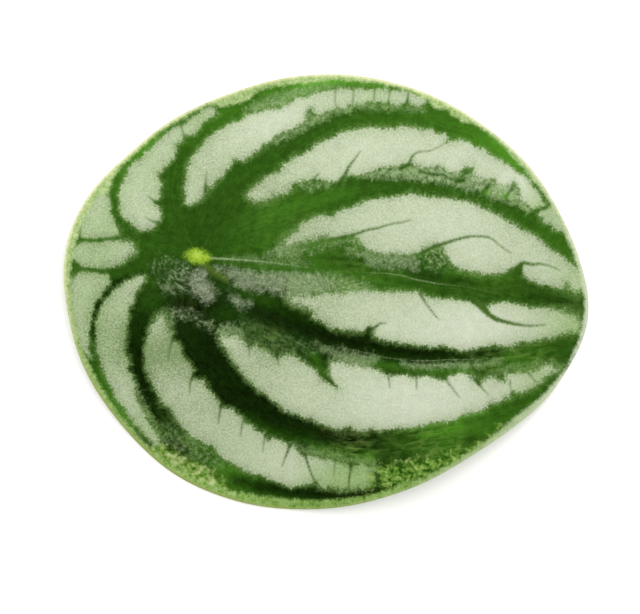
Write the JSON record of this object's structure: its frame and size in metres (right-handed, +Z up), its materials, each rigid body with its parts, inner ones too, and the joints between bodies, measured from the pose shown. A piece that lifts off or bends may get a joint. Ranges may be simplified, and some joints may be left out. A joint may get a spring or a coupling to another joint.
{
  "type": "peperomia leaf",
  "caption": "Picked watermelon peperomia leaf lying face up: a domed oval blade with dark curved bands between silver zones, a pale rim and the cut stub of its stalk underneath.",
  "frame": {"origin": "under the middle of the blade, on the surface that it lies on", "axes": "+X from the spot where the stalk joins towards the tip, +Y to the left of that seen from above, +Z up out of the upper face"},
  "size_m": [0.0881, 0.0735, 0.0117],
  "materials": {
    "blade_skin": "waxy leaf skin, dark green bands and mealy silver zones, satin",
    "stalk_skin": "smooth fleshy skin, satin, with a paler cut end"
  },
  "bodies": {
    "root": {"leaf_blade": "blade_skin", "petiole_stub": "stalk_skin"}
  },
  "joints": []
}
